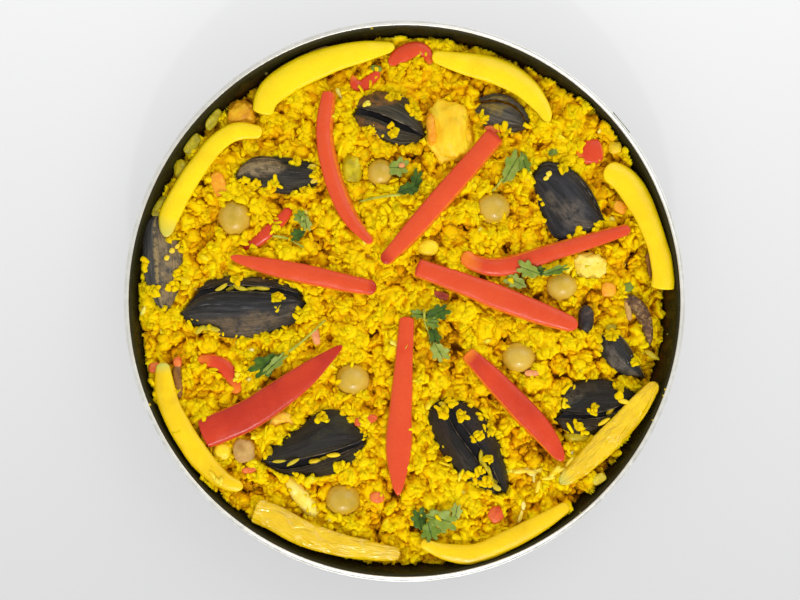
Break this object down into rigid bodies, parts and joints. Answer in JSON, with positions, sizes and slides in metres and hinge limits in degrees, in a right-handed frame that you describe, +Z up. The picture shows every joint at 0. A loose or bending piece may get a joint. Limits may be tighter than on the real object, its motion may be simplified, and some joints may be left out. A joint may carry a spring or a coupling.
{
  "type": "paella in a pan",
  "caption": "Seafood paella in a shallow round non-stick pan: saffron rice heap with mussels, red and yellow pepper strips, green olives and cooked pieces.",
  "frame": {"origin": "centre of the pan's flat base, on the surface it stands on", "axes": "+Z up out of the pan; +Y across the pan, away from a diner who sees it with mussel_6 on the left; +X to the right"},
  "size_m": [0.3406, 0.3406, 0.052],
  "materials": {
    "pan_coat": "satin dark non-stick coat",
    "bare_aluminium": "turned bare lip",
    "lug_steel": "dark olive-grey paint",
    "saffron_rice": "moist cooked grain",
    "red_pepper": "moist pepper skin",
    "yellow_pepper": "moist pepper skin",
    "mussel_shell": "wet dark shell with growth lines",
    "green_olive": "smooth brined skin",
    "cooked_flesh": "moist cooked meat and seafood",
    "soft_vegetable": "soft cooked vegetable",
    "coriander_leaf": "fresh leaf"
  },
  "bodies": {
    "root": {"pan": "pan_coat", "handle_lug": "lug_steel", "rice": "saffron_rice", "red_pepper_1": "red_pepper", "red_pepper_2": "red_pepper", "red_pepper_3": "red_pepper", "red_pepper_4": "red_pepper", "red_pepper_5": "red_pepper", "red_pepper_6": "red_pepper", "red_pepper_7": "red_pepper", "red_pepper_8": "red_pepper", "red_pepper_bit_left": "red_pepper", "red_pepper_bit_buried": "red_pepper", "red_pepper_bit_right": "red_pepper", "red_pepper_curl_low": "red_pepper", "red_pepper_curl_high": "red_pepper", "yellow_pepper_1": "yellow_pepper", "yellow_pepper_2": "yellow_pepper", "yellow_pepper_3": "yellow_pepper", "yellow_pepper_4": "yellow_pepper", "yellow_pepper_5": "yellow_pepper", "yellow_pepper_6": "yellow_pepper", "yellow_pepper_7": "yellow_pepper", "yellow_pepper_8": "yellow_pepper", "mussel_1": "mussel_shell", "mussel_2": "mussel_shell", "mussel_3": "mussel_shell", "mussel_4": "mussel_shell", "mussel_5": "mussel_shell", "mussel_6": "mussel_shell", "mussel_7": "mussel_shell", "mussel_8": "mussel_shell", "mussel_9": "mussel_shell", "mussel_10": "mussel_shell", "mussel_11": "mussel_shell", "olive_1": "green_olive", "olive_2": "green_olive", "olive_3": "green_olive", "olive_4": "green_olive", "olive_5": "green_olive", "olive_6": "green_olive", "olive_7": "green_olive", "chicken_large": "cooked_flesh", "chicken_corner": "cooked_flesh", "white_fish": "cooked_flesh", "squid_strip": "cooked_flesh", "squid_ring_middle": "cooked_flesh", "fish_corner": "cooked_flesh", "shrimp": "cooked_flesh", "squid_arm": "cooked_flesh", "onion_left": "soft_vegetable", "onion_clear": "soft_vegetable", "green_pepper_left": "soft_vegetable", "green_pepper_top": "soft_vegetable"}
  },
  "joints": []
}
